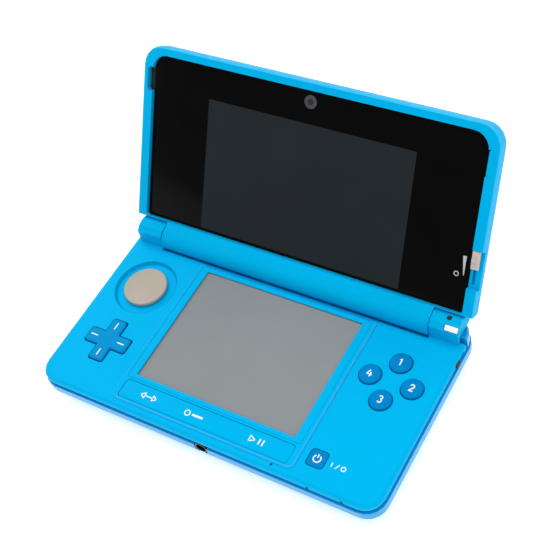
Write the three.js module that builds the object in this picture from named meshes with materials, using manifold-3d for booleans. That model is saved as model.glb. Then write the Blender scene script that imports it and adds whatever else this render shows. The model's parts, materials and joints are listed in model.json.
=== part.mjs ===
// Folding handheld game: a base with controls and a touch screen, and a hinged lid with a wide screen.
// Millimetres, +Z up, +X to the player's right, +Y to the back. Origin: centre of the base's underside.
// The lid is drawn closed, about the hinge line, and its group is turned open.

import * as THREE from "three";
import { mergeVertices } from "three/addons/utils/BufferGeometryUtils.js";
import Module from "manifold-3d";

const wasm = await Module();
wasm.setup();

// ---------------------------------------------------------------- driving dimensions

// base
const baseWidth = 133;
const baseDepth = 74;
const faceHeight = 12.7;
const baseCorner = 7;
const faceWall = 1.5;
const sideWall = 2;
const splitHeight = 8.9;
const hullTop = 5.7;
const hullInset = 6.3;
const faceRise = { outline: 0.3, groove: 0.9, grooveTop: 1.4, round: 1.1 };
const shellCavity = { front: 2, corner: 5, lowerBack: 11.7, upperBack: 12 };

// lid
const lidOverhang = 0.5;
const lidLength = 69.2;
const lidThickness = 8;
const lidCorner = 7.5;
const lidGap = 0.26;
const frameThickness = 3.9;
const coverWall = 1.35;
const coverRim = { wall: 2.2, corner: 5.5, hingeWall: 1.6 };
const openAngle = THREE.MathUtils.degToRad(122.4);

// hinge
const barrelRadius = 5;
const axisAboveFace = 2;
const barrelLength = 106.8;
const hingePinRadius = 2.6;
const hingePinLength = 13.8;
const hingeBoreReach = 6.6;
const blockWidth = 10.4;
const blockChamfer = { size: 30, angle: THREE.MathUtils.degToRad(28), out: 2.6, up: 6.6 };
const troughRoom = 0.4;

// clearances
const gap = 0.3;
const seam = 0.2;
const slack = 0.25;
const past = 1; // how far a cutting tool runs past the surface it cuts
const tall = 2 * faceHeight; // higher than anything on the base
const hingeBoreRadius = hingePinRadius + slack;

// touch screen and its surround
const touchOpening = { x: 62.5, y: 46.9 };
const touchGlass = { x: 63.4, y: 47.8 };
const bezelSize = { x: 68, y: 50.2 };
const bezelSheet = 0.45;
const plateau = { x: 71.2, front: 3.1, back: 11.3, rise: 0.7, corner: 2.5 };
const menuStrip = { x: 66, y: 6.6, corner: 1 };

// controls
const faceButton = { radius: 3.75, rise: 1, flange: 4.4, spacing: 7.5, fromSide: 16.5, y: 6.7 };
const dpad = {
  span: 17, arm: 5.6, room: 0.45, rise: 0.85, bevel: 0.5, corner: 0.9, flange: 6.2, fromSide: 16.8, y: -15.2,
};
const dish = { slope: 0.5, rim: 1.1, room: 0.39, depth: 1.3, fromSide: 16.45, y: 9.6 };
const circleCap = { radius: 8, rise: 0.5, hollow: 0.6, stem: 1.8, plate: 6.3, carriage: 15, travel: 2.2 };
const power = { size: 6, corner: 1.4, rise: 0.15, fromSide: 25.3, fromFront: 9.9 };
const shoulder = { wrap: 7.4, arm: 2.8, inner: 1.1, sideTop: 14.4, backTop: 11.3, sweep: 1, swing: 0.2 };
const shoulderPin = { radius: 0.7, fromBlock: 2.5, fromBack: 2 };
const volume = { slot: 13, height: 1.5, knob: 5, y: -19.5, aboveHull: 0.4 };
const wireless = { slot: 6.4, height: 1.5, knob: 2.6, y: 23.4, belowFace: 1 };
const depthKnob = { length: 6.2, width: 2.6, travel: 6, top: 28.3, depth: 1.6, outsideLens: 0.1 };
const micHole = { radius: 0.5, fromSide: 37.9, fromFront: 2.4 };
const statusBar = { length: 4.6, width: 1.9, depth: 0.9, fromEnd: 2.6 };
const lightPin = { radius: 0.45, length: 2.5, belowFace: 1.6 };
const plug = { radius: 0.75, depth: 1.2, fromBlock: 5.9, up: 5.1 };
const handSlot = { from: 8.5, to: 5.3, height: 0.8 };

// inside
const coverPlate = { x: 115, front: 8.7, back: 2, thickness: 1.2, corner: 5 };
const bayTop = 6.6;
const webTop = 7.3;
const board = { z: 7.6, thickness: 0.8, front: 9, back: 12.2 };
const battery = { x: 45, y: 30, centre: -3.8, front: 9.2 };
const membrane = { above: 0.3, sheet: 0.4 };
const cardCage = { x: 36.4, y: 28, wall: 0.4, fromBack: 2.2, lift: 0.5 };
const cardSlot = { inset: 1, bottom: 2, top: 6 };
const memoryCage = { x: 27, y: 25.4, height: 3.4, middle: 5.4, fromSide: 9.4, wall: 0.5, lift: 0.9 };
const memoryDoor = { y: 21, bottom: 2.4, top: 5.5, skin: 1.1 };
const stylus = { radius: 2, length: 62, x: 25.5, z: 4.2, nib: 4.2, tip: 0.6 };
const jack = { radius: 2.4, wall: 0.65, length: 6, x: 1.9, belowKeys: 0.4 };
const chargePort = { x: 8.6, z: 4.2, bottom: 2.2, depth: 6, wall: 0.75, centre: -33.5 };
const infraredWindow = { x: 8, z: 3.6, depth: 1, centre: 42, zCentre: 5.2 };
const postRadius = 2.1;
const screwRadius = 0.85;
const screwHead = 1.6;
const screwSink = 2.2;
const coverScrewSize = { depth: 5.6, head: 1.85, sink: 0.75, slot: 0.2, fromSide: 6, y: -12 };

// screen side of the lid
const lens = { x: 125.6, bottom: 6.4, fromTop: 3.2, thickness: 1.1, recess: 1.2, corner: 5.4 };
const display = { x: 88, bottom: 9.6, length: 47, thickness: 2.75 };
const ledge = 1.8;
const innerCamera = { radius: 2.3, fromLensTop: 3.8, body: 4, bodyHeight: 2.4 };
const outerCamera = { radius: 3.1, spacing: 35, fromTop: 8.7, inside: 3.2 };
const speaker = { x: 8, y: 14, thickness: 2.6, insideLens: 6.3, u: 55 };
const speakerSlit = { x: 2.4, length: 9, u: 57, outside: 1.1 };

// ---------------------------------------------------------------- places worked out from them

const side = baseWidth / 2;
const front = -baseDepth / 2;
const back = baseDepth / 2;
const hingeY = back - barrelRadius;
const hingeZ = faceHeight + axisAboveFace;
const wallUnder = faceHeight - faceWall;
const faceBottom = splitHeight + gap;
const blockInner = barrelLength / 2 + gap;
const blockOuter = blockInner + blockWidth;
const lidInner = lidGap - axisAboveFace;
const lidOuter = lidInner + lidThickness;
const legEnd = barrelRadius + 0.7;
const buttonX = side - faceButton.fromSide;
const dishX = -(side - dish.fromSide);
const circleReach = circleCap.travel * Math.SQRT2;
const dishRadius = circleCap.radius + circleReach + dish.room;
const dishHole = circleCap.stem + circleReach + seam;
const dpadX = -(side - dpad.fromSide);
const powerAt = { x: side - power.fromSide, y: front + power.fromFront };
const stripY = front + plateau.front + 0.9 + slack + menuStrip.y / 2;
const bezelBack = bezelSize.y / 2 + 0.1;
const stripBottom = wallUnder - gap - 0.1;
const jackZ = stripBottom - jack.belowKeys - jack.radius;
const plateauTop = faceHeight + plateau.rise;
const membraneZ = board.z + board.thickness + membrane.above;
const postPlaces = [-1, 1].flatMap((sx) => [
  { x: sx * (side - 11.5), y: front + 11.2 },
  { x: sx * (side - 12.5), y: back - 14.6 },
]);
const coverScrewX = coverPlate.x / 2 - coverScrewSize.fromSide;
const shoulderPinX = blockInner + shoulderPin.fromBlock;
const shoulderPinY = back - shoulderPin.fromBack;
const cageBack = back - cardCage.fromBack;
const memoryX = -side + memoryCage.fromSide;
const memoryFront = memoryCage.middle - memoryCage.y / 2;
const volumeZ = hullTop + volume.aboveHull;
const wirelessZ = faceHeight - wireless.belowFace - wireless.height;
const menuPlaces = [-22, -4, 20.4];
const plugAt = { x: blockInner + plug.fromBlock, y: hingeY, top: hingeZ + plug.up };
const lightPlaces = { light_power: side - 24.1, light_charge: side - 12.1 };
const lightZ = faceHeight - lightPin.belowFace;

// ---------------------------------------------------------------- solids

const solidOf = (geometry) => {
  geometry.deleteAttribute("normal");
  geometry.deleteAttribute("uv");
  const merged = mergeVertices(geometry, 1e-5);
  const mesh = new wasm.Mesh({
    numProp: 3,
    vertProperties: new Float32Array(merged.attributes.position.array),
    triVerts: new Uint32Array(merged.index.array),
  });
  return new wasm.Manifold(mesh);
};

const cut = (solid, ...tools) => tools.flat().reduce((left, tool) => left.subtract(tool), solid);
const join = (solid, ...others) => others.flat().reduce((sum, other) => sum.add(other), solid);

const box = (x0, x1, y0, y1, z0, z1) => {
  const geometry = new THREE.BoxGeometry(x1 - x0, y1 - y0, z1 - z0);
  geometry.translate((x0 + x1) / 2, (y0 + y1) / 2, (z0 + z1) / 2);
  return solidOf(geometry);
};

const disc = (x, y, z0, z1, radius, sides = 24, topRadius = radius) => {
  const geometry = new THREE.CylinderGeometry(topRadius, radius, z1 - z0, sides);
  geometry.rotateX(Math.PI / 2).translate(x, y, (z0 + z1) / 2);
  return solidOf(geometry);
};

const rodX = (x0, x1, y, z, radius, sides = 24) => {
  const geometry = new THREE.CylinderGeometry(radius, radius, x1 - x0, sides);
  geometry.rotateZ(Math.PI / 2).translate((x0 + x1) / 2, y, z);
  return solidOf(geometry);
};

const rodY = (x, y0, y1, z, radius, sides = 16) => {
  const geometry = new THREE.CylinderGeometry(radius, radius, y1 - y0, sides);
  geometry.translate(x, (y0 + y1) / 2, z);
  return solidOf(geometry);
};

// A profile of [radius, height] points, closed on the axis, turned about a vertical line.
const turned = (x, y, profile, sides = 24) => {
  const points = profile.map(([radius, height]) => new THREE.Vector2(radius, height));
  const geometry = new THREE.LatheGeometry(points, sides);
  geometry.rotateX(Math.PI / 2).translate(x, y, 0);
  return solidOf(geometry);
};

// An outline of [y, z] points, drawn anticlockwise as seen from +X, pushed from x0 to x1.
const extrudedX = (outline, x0, x1) => {
  const shape = new THREE.Shape(outline.map(([y, z]) => new THREE.Vector2(y, z)));
  const geometry = new THREE.ExtrudeGeometry(shape, { depth: x1 - x0, bevelEnabled: false });
  const basis = new THREE.Matrix4().makeBasis(
    new THREE.Vector3(0, 1, 0), new THREE.Vector3(0, 0, 1), new THREE.Vector3(1, 0, 0));
  return solidOf(geometry.applyMatrix4(basis).translate(x0, 0, 0));
};

// One ring of a rounded rectangle at height z.
const ring = ({ x0, x1, y0, y1, z, r, rBack = r, steps }) => {
  const corners = [
    { x: x1 - r, y: y0 + r, r, from: -0.5 },
    { x: x1 - rBack, y: y1 - rBack, r: rBack, from: 0 },
    { x: x0 + rBack, y: y1 - rBack, r: rBack, from: 0.5 },
    { x: x0 + r, y: y0 + r, r, from: 1 },
  ];
  return corners.flatMap((corner) => Array.from({ length: steps + 1 }, (_, i) => {
    const angle = Math.PI * (corner.from + 0.5 * i / steps);
    return [corner.x + corner.r * Math.cos(angle), corner.y + corner.r * Math.sin(angle), z];
  }));
};

// A closed solid through a stack of rings, lowest first.
const stacked = (rings) => {
  const count = rings[0].length;
  const index = [];
  for (let level = 0; level + 1 < rings.length; level++) {
    for (let i = 0; i < count; i++) {
      const a = level * count + i;
      const b = level * count + (i + 1) % count;
      index.push(a, b, b + count, a, b + count, a + count);
    }
  }
  const top = (rings.length - 1) * count;
  for (let i = 1; i + 1 < count; i++) {
    index.push(0, i + 1, i);
    index.push(top, top + i, top + i + 1);
  }
  const geometry = new THREE.BufferGeometry();
  geometry.setAttribute("position", new THREE.Float32BufferAttribute(rings.flat(2), 3));
  geometry.setIndex(index);
  return solidOf(geometry);
};

// A slab with rounded corners; layers are [height, inset] or [height, inset, inset at the back].
const slab = ({ x0, x1, y0, y1, r, rBack = r, steps = 5 }, layers) => stacked(
  layers.map(([z, inset, backInset = inset]) => ring({
    x0: x0 + inset, x1: x1 - inset, y0: y0 + inset, y1: y1 - backInset, z, steps,
    r: Math.max(r - inset, 0.4), rBack: Math.max(rBack - inset, 0.4),
  })));

const centred = (x, y, width, depth, r) => ({
  x0: x - width / 2, x1: x + width / 2, y0: y - depth / 2, y1: y + depth / 2, r,
});

const mirrored = (place) => [-1, 1].map(place);

// The layers of an upright cutter that runs from the floor to above the base.
const throughBase = [[0, 0], [tall, 0]];

// ---------------------------------------------------------------- scene graph

const handheld = new THREE.Group();
const lid = new THREE.Group();
lid.position.set(0, hingeY, hingeZ);
lid.rotation.x = -openAngle;
handheld.add(lid);

const colours = {
  shell: 0x02b4ee, gloss: 0x0098dc, key: 0x0590d4, cap: 0xb2aca0, black: 0x08090a, panel: 0x0b0c0d,
  touch: 0x8c9093, board: 0x1f6b3a, steel: 0xb9bdc1, rubber: 0x6d7072, battery: 0x8f949a,
  white: 0xf2f5f6, knob: 0xc8bebc, dark: 0x26292b,
};

const finish = {
  satin: [0.42, 0.05], glossy: [0.15, 0], matte: [0.7, 0], metal: [0.32, 1],
};

const add = (parent, name, colour, surface, solid) => {
  const { vertProperties, triVerts } = solid.getMesh();
  const geometry = new THREE.BufferGeometry();
  geometry.setAttribute("position", new THREE.BufferAttribute(vertProperties, 3));
  geometry.setIndex(new THREE.BufferAttribute(triVerts, 1));
  const [roughness, metalness] = finish[surface];
  const material = new THREE.MeshStandardMaterial({ color: colours[colour], roughness, metalness });
  const mesh = new THREE.Mesh(geometry, material);
  mesh.name = name;
  parent.add(mesh);
};

// ---------------------------------------------------------------- hinge outline

// Section of the lid's barrel about the hinge axis: a circle with a flank that runs out to the screen side,
// and a flank that runs out to the outer face. grow thickens it all round.
const barrelOutline = (grow, withOuterFlank) => {
  const radius = barrelRadius + grow;
  const foot = [-(legEnd - 0.1) - grow, lidInner];
  const heel = [-3.4, lidOuter];
  const tangent = ([y, z], turn) => Math.atan2(z, y) + turn * Math.acos(radius / Math.hypot(y, z));
  const start = tangent(foot, 1);
  const end = withOuterFlank ? tangent(heel, -1) : Math.PI * 0.5;
  const steps = 14;
  const arc = Array.from({ length: steps + 1 }, (_, i) => {
    const angle = start + (end - start) * i / steps;
    return [radius * Math.cos(angle), radius * Math.sin(angle)];
  });
  return { foot, heel, arc };
};

// ---------------------------------------------------------------- base shells

const baseOutline = { x0: -side, x1: side, y0: front, y1: back, r: baseCorner };

const coverOutline = {
  x0: -coverPlate.x / 2, x1: coverPlate.x / 2, y0: front + coverPlate.front, y1: back - coverPlate.back,
  r: coverPlate.corner,
};

const grown = (outline, amount) => ({
  ...outline, x0: outline.x0 - amount, x1: outline.x1 + amount, y0: outline.y0 - amount,
  y1: outline.y1 + amount, r: outline.r + amount,
});

const hull = (inset) => slab(baseOutline, [
  [0, hullInset + 0.6 + inset, 0.8 + inset], [0.5, hullInset + inset, 0.3 + inset],
  [hullTop, inset], [splitHeight, inset],
]);

const screwHoles = () => postPlaces.flatMap(({ x, y }) => [
  disc(x, y, -past, splitHeight + past, screwRadius + slack, 12),
  disc(x, y, -past, coverPlate.thickness + screwSink, screwHead + slack, 16),
]);

const slotBay = () => {
  const half = cardCage.x / 2 + slack;
  const opening = half - cardSlot.inset;
  return [
    box(-half, half, cageBack - cardCage.y - 2 * slack, cageBack, 0, bayTop),
    box(-opening, opening, cageBack - past, back + past, cardSlot.bottom, cardSlot.top),
  ];
};

const memoryBay = () => box(memoryX - slack, memoryX + memoryCage.x + slack,
  memoryFront - slack, memoryFront + memoryCage.y + slack, 0, bayTop);

const doorBox = (extra) => box(-side - past, memoryX + 0.5,
  memoryCage.middle - memoryDoor.y / 2 - extra, memoryCage.middle + memoryDoor.y / 2 + extra,
  memoryDoor.bottom - extra, memoryDoor.top + extra);

const batteryBay = () => box(
  battery.centre - battery.x / 2 - slack, battery.centre + battery.x / 2 + slack,
  front + battery.front - slack, front + battery.front + battery.y + slack, 0, bayTop);

const jackHole = () => rodY(jack.x, front - past, front + jack.length + past, jackZ,
  jack.radius + slack, 20);

const shoulderPinHole = (z0, z1) => mirrored((sx) => disc(sx * shoulderPinX, shoulderPinY, z0, z1,
  shoulderPin.radius + slack, 12));

const infraredBox = (extra) => {
  const { x, z, depth, centre, zCentre } = infraredWindow;
  return box(centre - x / 2 - extra, centre + x / 2 + extra, back - depth - extra, back + 5 * extra,
    zCentre - z / 2 - extra, zCentre + z / 2 + extra);
};

// The bay for the board and keys that each shell is hollowed by.
const shellBay = (fromBack, backCorner, z0, z1) => slab({
  x0: -side + sideWall, x1: side - sideWall, y0: front + shellCavity.front, y1: back - fromBack,
  r: shellCavity.corner, rBack: backCorner,
}, [[z0, 0], [z1, 0]]);

const portHalf = chargePort.x / 2;

const lowerShell = () => cut(hull(0),
  shellBay(shellCavity.lowerBack, 2, webTop, splitHeight + past),
  slab(grown(coverOutline, slack), [[-past, 0], [coverPlate.thickness + gap, 0]]),
  batteryBay(), slotBay(), memoryBay(), doorBox(slack),
  rodY(stylus.x, back - stylus.length - past, back + past, stylus.z, stylus.radius + gap),
  box(chargePort.centre - portHalf - slack, chargePort.centre + portHalf + slack,
    back - chargePort.depth - past, back + past,
    chargePort.bottom, chargePort.bottom + chargePort.z + 2 * slack),
  infraredBox(seam), jackHole(),
  rodX(-blockInner, blockInner, hingeY, hingeZ, barrelRadius + troughRoom),
  box(-side - past, -side + 1.7, volume.y - volume.slot / 2, volume.y + volume.slot / 2,
    volumeZ, volumeZ + volume.height),
  screwHoles(),
  mirrored((sx) => disc(sx * coverScrewX, coverScrewSize.y, 0, coverScrewSize.depth,
    screwRadius + slack, 12)),
  shoulderPinHole(splitHeight - 1.5, splitHeight + past));

const bottomCover = () => cut(slab(coverOutline, [[0, 0.5], [0.5, 0], [coverPlate.thickness, 0]]),
  mirrored((sx) => disc(sx * coverScrewX, coverScrewSize.y, -past, coverPlate.thickness + past,
    screwRadius + slack, 12)),
  mirrored((sx) => disc(sx * coverScrewX, coverScrewSize.y, -past, coverScrewSize.sink,
    coverScrewSize.head + slack, 16)));

const coverScrew = (sx) => {
  const { y, head, slot, depth } = coverScrewSize;
  const x = sx * coverScrewX;
  return join(
    cut(disc(x, y, 0.1, 0.5, head, 16), box(x - 1.2, x + 1.2, y - slot, y + slot, 0, 0.3)),
    disc(x, y, 0.4, depth - gap, screwRadius, 12));
};

const baseScrew = ({ x, y }) => {
  const seat = coverPlate.thickness + screwSink - slack;
  return join(disc(x, y, seat - 1.1, seat, screwHead, 16),
    disc(x, y, seat - 0.1, wallUnder - 0.6, screwRadius, 12));
};

// ---------------------------------------------------------------- upper base shell

// The block's section above the face, about the hinge axis, from its back round to its front bevel.
const blockBevel = [[4.65, 0.6], [4.3, 2.7], [2.9, 4.4], [0.6, 5.3], [-2.3, 4.78], [-4.2, 3.15]];

const hingeBlock = (sx) => {
  const lowest = faceBottom + troughRoom - hingeZ;
  const outline = [[-4.7, lowest], [blockBevel[0][0], lowest], ...blockBevel];
  const placed = outline.map(([y, z]) => [y + hingeY, z + hingeZ]);
  const [x0, x1] = sx > 0 ? [blockInner, blockOuter] : [-blockOuter, -blockInner];
  const chamfer = new THREE.BoxGeometry(blockChamfer.size / 5, blockChamfer.size, blockChamfer.size);
  chamfer.rotateY(-sx * blockChamfer.angle);
  chamfer.translate(sx * (blockOuter + blockChamfer.out), hingeY, hingeZ + blockChamfer.up);
  return cut(extrudedX(placed, x0, x1), solidOf(chamfer));
};

// What the button fills: the outer back corner, under the hinge block. sweep is the room it needs to be
// pressed, and swing the room that its short arm then needs at the inner side.
const shoulderSpace = (sx, extra, sweep, swing) => {
  const inner = blockInner + shoulder.inner - extra;
  const sideInner = side - shoulder.arm - shoulder.inner - extra - swing;
  const bottom = faceBottom + seam - extra;
  const spans = (near, far) => (sx > 0 ? [near, far] : [-far, -near]);
  return join(
    box(...spans(inner, side + past), back - shoulder.arm - gap - sweep, back + past,
      bottom, shoulder.backTop + extra),
    box(...spans(sideInner, side + past), back - shoulder.wrap - sweep, back + past,
      bottom, shoulder.sideTop + extra));
};

const shoulderButton = (sx) => {
  const inset = faceRise.outline;
  const round = slab(baseOutline, [
    [faceBottom, inset + 0.4], [faceBottom + 0.7, inset], [shoulder.sideTop - 0.6, inset],
    [shoulder.sideTop + 0.1, inset + 0.6],
  ]);
  return cut(round.intersect(shoulderSpace(sx, 0, 0, 0)), shoulderPinHole(0, tall));
};

const shoulderPivot = (sx) => disc(sx * shoulderPinX, shoulderPinY, splitHeight - 1.3, shoulder.backTop + 0.9,
  shoulderPin.radius, 12);

const trough = () => {
  const { foot, arc } = barrelOutline(troughRoom, false);
  const outline = [foot, ...arc, [foot[0], barrelRadius + 4]];
  const placed = outline.map(([y, z]) => [y + hingeY, z + hingeZ]);
  return [
    extrudedX(placed, -blockInner, blockInner),
    box(-blockInner, blockInner, hingeY - barrelRadius / 2, back + past, 0, hingeZ),
    box(-blockInner, blockInner, hingeY - barrelRadius / 10, back + past, hingeZ - past, tall + barrelRadius),
  ];
};

const plateauOutline = {
  x0: -plateau.x / 2, x1: plateau.x / 2, y0: front + plateau.front, y1: back - plateau.back,
  r: plateau.corner, rBack: 0.6,
};

const crossOf = (span, arm, z0, z1) => join(...[[span, arm], [arm, span]].map(([x, y]) => slab(
  { ...centred(dpadX, dpad.y, x, y, dpad.corner), steps: 2 },
  [[z0, 0], [z1 - dpad.bevel, 0], [z1, dpad.bevel]])));

const buttonPlaces = [[0, 1], [1, 0], [0, -1], [-1, 0]].map(([ux, uy]) => ({
  x: buttonX + ux * faceButton.spacing, y: faceButton.y + uy * faceButton.spacing,
}));

// The bar of the status light lies along the block's front bevel and reaches a little way into it.
const statusLight = (grow) => {
  const { length, width, depth, fromEnd } = statusBar;
  const bar = new THREE.BoxGeometry(length + 2 * grow, width + 2 * grow, 2 * depth + 2 * grow);
  const [low, high] = [blockBevel.at(-1), blockBevel.at(-2)];
  bar.rotateX(Math.atan2(high[1] - low[1], high[0] - low[0]));
  bar.translate(blockOuter - fromEnd, hingeY + (low[0] + high[0]) / 2, hingeZ + (low[1] + high[1]) / 2);
  return solidOf(bar);
};

const faceShell = () => {
  const { outline, groove, grooveTop, round } = faceRise;
  const outer = slab(baseOutline, [
    [faceBottom, groove], [faceBottom + grooveTop - 0.3, groove],
    [faceBottom + grooveTop, outline], [faceHeight - round, outline],
    [faceHeight - 0.4, outline + 0.35], [faceHeight, outline + round],
  ]);
  const cavity = shellBay(shellCavity.upperBack, 1, 0, wallUnder);
  const raised = slab(plateauOutline, [
    [faceHeight - 0.5, 0], [plateauTop - plateau.rise / 2, 0], [plateauTop, plateau.rise / 2],
  ]);
  const posts = postPlaces.map(({ x, y }) => disc(x, y, webTop + gap, wallUnder + 0.1, postRadius, 16));
  const body = join(cut(outer, cavity), raised, posts, mirrored((sx) => hingeBlock(sx)),
    disc(dishX, dish.y, wallUnder - 1, wallUnder + 0.1, dishRadius + dish.rim, 32));
  return cut(body, trough(),
    slab(centred(0, 0, touchGlass.x + 2 * slack, touchGlass.y + 2 * slack, 0.6), throughBase),
    slab(centred(0, bezelBack - bezelSize.y / 2, bezelSize.x + 2 * seam, bezelSize.y + 2 * seam, 1.2),
      [[faceHeight, 0], [tall, 0]]),
    slab(centred(0, stripY, menuStrip.x + 2 * slack, menuStrip.y + 2 * slack, menuStrip.corner),
      throughBase),
    disc(dishX, dish.y, faceHeight - dish.depth, faceHeight + 0.01, dishRadius - dish.slope, 40,
      dishRadius),
    disc(dishX, dish.y, 0, tall, dishHole),
    crossOf(dpad.span + 2 * dpad.room, dpad.arm + 2 * dpad.room, 0, tall),
    buttonPlaces.map(({ x, y }) => disc(x, y, 0, tall, faceButton.radius + slack)),
    slab(centred(powerAt.x, powerAt.y, power.size + 2 * seam, power.size + 2 * seam, power.corner),
      throughBase),
    disc(side - micHole.fromSide, front + micHole.fromFront, 0, tall, micHole.radius, 10),
    Object.values(lightPlaces).map((x) => rodY(x, front - past, front + lightPin.length + 0.5, lightZ,
      lightPin.radius + seam, 10)),
    jackHole(),
    box(side - handSlot.from, side - handSlot.to, front - past, front + 1.5,
      faceBottom + 0.5, faceBottom + 0.5 + handSlot.height),
    box(side - 1.7, side + past, wireless.y - wireless.slot / 2, wireless.y + wireless.slot / 2,
      wirelessZ, wirelessZ + wireless.height),
    postPlaces.map(({ x, y }) => disc(x, y, 0, wallUnder - 0.3, screwRadius + slack, 12)),
    mirrored((sx) => shoulderSpace(sx, gap, shoulder.sweep, shoulder.swing)),
    shoulderPinHole(0, shoulder.backTop + 1.2),
    rodX(-blockInner - hingeBoreReach, blockInner + hingeBoreReach, hingeY, hingeZ, hingeBoreRadius),
    statusLight(seam), disc(plugAt.x, plugAt.y, plugAt.top - plug.depth - gap, plugAt.top + past,
      plug.radius + seam, 12));
};

// ---------------------------------------------------------------- base controls

const touchScreen = () => join(
  slab(centred(0, 0, touchGlass.x, touchGlass.y, 0.5), [[wallUnder - 0.6, 0], [faceHeight, 0]]),
  slab(centred(0, 0, touchGlass.x + 4.4, touchGlass.y + 1.8, 1), [[membraneZ, 0], [wallUnder - gap, 0]]));

const touchBezel = () => cut(
  slab(centred(0, bezelBack - bezelSize.y / 2, bezelSize.x, bezelSize.y, 1),
    [[plateauTop - bezelSheet, 0], [plateauTop, 0]]),
  slab(centred(0, 0, touchOpening.x, touchOpening.y, 0.8), throughBase), trough());

// Room for the headphone socket under the menu strip.
const jackNotch = () => {
  const half = jack.radius + gap;
  return box(jack.x - half, jack.x + half, front, front + jack.length + gap, 0, wallUnder - gap);
};

const stripKeys = () => {
  const outline = centred(0, stripY, menuStrip.x, menuStrip.y, menuStrip.corner);
  const flange = centred(0, stripY, menuStrip.x + 1.6, menuStrip.y + 1.2, menuStrip.corner);
  return join(slab(outline, [[stripBottom, 0], [plateauTop - 0.2, 0], [plateauTop, 0.2]]),
    cut(slab(flange, [[wallUnder - 1, 0], [wallUnder - gap, 0]]), jackNotch()));
};

const stripMembrane = () => {
  const top = membraneZ + membrane.sheet;
  const sheet = box(-30, 30, stripY - 2.5, stripY + 2.5, membraneZ, top);
  const domes = menuPlaces.map((x) => disc(x, stripY, top - 0.1, wallUnder - 1.6, 1.8, 12));
  return join(cut(sheet, jackNotch()), domes);
};

const roundButton = ({ x, y }) => {
  const top = faceHeight + faceButton.rise;
  const r = faceButton.radius;
  return turned(x, y, [
    [0, wallUnder - 0.9], [faceButton.flange, wallUnder - 0.9], [faceButton.flange, wallUnder - gap],
    [r, wallUnder - gap], [r, top - 0.9], [r - 0.4, top - 0.35], [r - 1.4, top - 0.08], [0, top],
  ]);
};

const buttonMembrane = () => {
  const width = 2 * (faceButton.spacing + 3.4);
  const top = membraneZ + 0.35;
  return join(slab(centred(buttonX, faceButton.y, width, width, 4), [[membraneZ, 0], [top, 0]]),
    buttonPlaces.map((place) => disc(place.x, place.y, top - 0.05, top + 0.25, 2.6, 12)));
};

const dpadKey = () => join(crossOf(dpad.span, dpad.arm, wallUnder - 0.7, faceHeight + dpad.rise),
  cut(disc(dpadX, dpad.y, wallUnder - 1.1, wallUnder - 0.55, dpad.flange),
    disc(dpadX, dpad.y, 0, wallUnder - 0.8, 2)));

const dpadPivot = () => turned(dpadX, dpad.y, [
  [0, membraneZ], [1.5, membraneZ], [1.2, wallUnder - 1.2], [0, wallUnder - 1.1],
], 16);

const dpadMembrane = () => cut(
  disc(dpadX, dpad.y, membraneZ, membraneZ + membrane.sheet, dpad.span / 2 - gap),
  disc(dpadX, dpad.y, 0, tall, 2.2, 16),
  postPlaces.map(({ x, y }) => disc(x, y, 0, tall, postRadius + gap, 12)));

const circleCapSolid = () => {
  const top = faceHeight + circleCap.rise;
  const under = faceHeight - dish.depth + gap;
  const r = circleCap.radius;
  return turned(dishX, dish.y, [
    [0, wallUnder - 1.2], [circleCap.stem, wallUnder - 1.2], [circleCap.stem, under], [r - 0.3, under],
    [r, under + 0.4], [r, top - 0.4], [r - 0.5, top], [r - 1.6, top - 0.15],
    [r * 0.45, top - circleCap.hollow + 0.1], [0, top - circleCap.hollow],
  ], 28);
};

const circleCarriage = () => slab(centred(dishX, dish.y, circleCap.carriage, circleCap.carriage, 2),
  [[membraneZ, 0], [membraneZ + membrane.sheet, 0]]);

const circlePlate = () => disc(dishX, dish.y, membraneZ + membrane.sheet + slack, wallUnder - 1.45,
  circleCap.plate);

const powerButton = () => join(
  slab(centred(powerAt.x, powerAt.y, power.size, power.size, power.corner),
    [[wallUnder - 0.6, 0], [faceHeight + power.rise - 0.2, 0], [faceHeight + power.rise, 0.2]]),
  slab(centred(powerAt.x, powerAt.y, power.size + 1.6, power.size + 1.6, power.corner),
    [[wallUnder - 0.9, 0], [wallUnder - gap, 0]]));

const volumeKnob = () => {
  const z = volumeZ + slack;
  return join(
    box(-side - 0.5, -side + 1.4, volume.y - volume.knob / 2, volume.y + volume.knob / 2,
      z, z + volume.height - 2 * slack),
    box(-side - 0.75, -side, volume.y - 0.3, volume.y + 0.3, z, z + volume.height - 2 * slack));
};

const wirelessKnob = () => {
  const y = wireless.y - wireless.slot / 2 + slack;
  return box(side - 1.4, side + 0.25, y, y + wireless.knob,
    wirelessZ + slack, wirelessZ + wireless.height - slack);
};

// ---------------------------------------------------------------- base internals and sockets

const batteryPack = () => slab(
  { x0: battery.centre - battery.x / 2, x1: battery.centre + battery.x / 2,
    y0: front + battery.front, y1: front + battery.front + battery.y, r: 1.5, steps: 3 },
  [[coverPlate.thickness + 0.4, 0.3], [coverPlate.thickness + 0.8, 0],
    [bayTop - 0.8, 0], [bayTop - gap, 0.3]]);

const mainBoard = () => cut(
  box(-side + 4, side - 4, front + board.front, back - board.back, board.z, board.z + board.thickness),
  postPlaces.map(({ x, y }) => disc(x, y, 0, tall, postRadius + gap, 12)));

const cardReader = () => {
  const { wall, y, lift } = cardCage;
  const x = cardCage.x / 2;
  const y1 = cageBack - slack;
  const z0 = coverPlate.thickness + lift;
  const z1 = bayTop - slack;
  return cut(box(-x, x, y1 - y, y1, z0, z1),
    box(-x + wall, x - wall, y1 - y + 2, y1 + past, z0 + wall, z1 - wall));
};

const memoryReader = () => {
  const { x, y, wall, height, lift } = memoryCage;
  const z0 = coverPlate.thickness + lift;
  return cut(box(memoryX, memoryX + x, memoryFront, memoryFront + y, z0, z0 + height),
    box(memoryX - past, memoryX + x - 2, memoryFront + wall, memoryFront + y - wall,
      z0 + wall, z0 + height - wall));
};

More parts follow.
